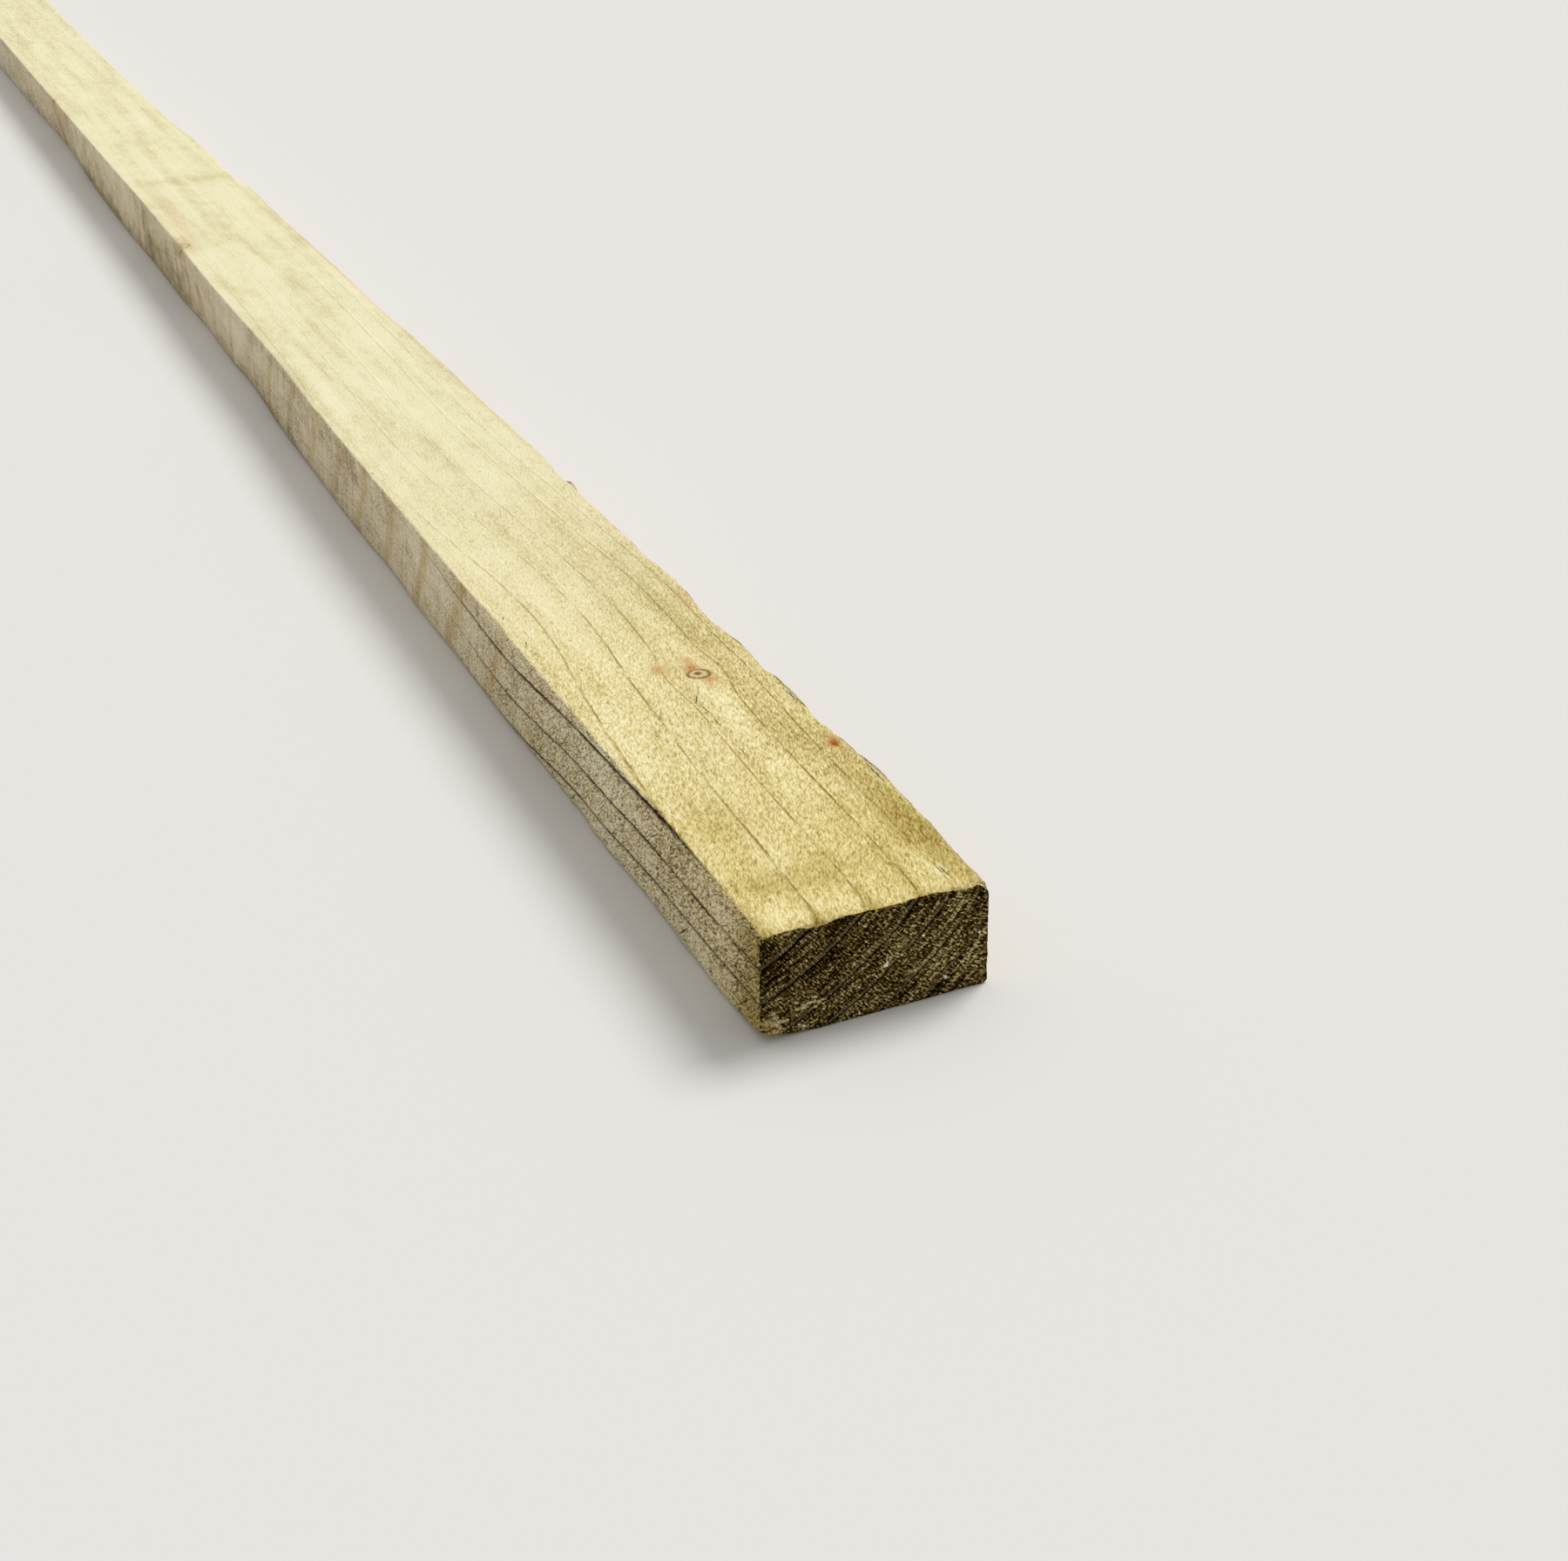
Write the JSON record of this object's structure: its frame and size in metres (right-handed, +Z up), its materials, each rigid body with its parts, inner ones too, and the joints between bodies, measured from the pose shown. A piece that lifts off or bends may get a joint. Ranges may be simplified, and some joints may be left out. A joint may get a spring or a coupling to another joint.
{
  "type": "roof batten",
  "caption": "Straight length of rough sawn, pressure treated softwood, nailed across rafters to carry roof tiles or slates.",
  "frame": {"origin": "middle of the underside, which rests on the rafters", "axes": "+X along the batten, away from its weathered end; +Y across its width; +Z up, through its thickness, out of the face that carries the tiles"},
  "size_m": [2.4, 0.05, 0.025],
  "materials": {
    "treated_softwood": "rough sawn, matt, green-yellow from the treatment"
  },
  "bodies": {
    "root": {"batten": "treated_softwood"}
  },
  "joints": []
}
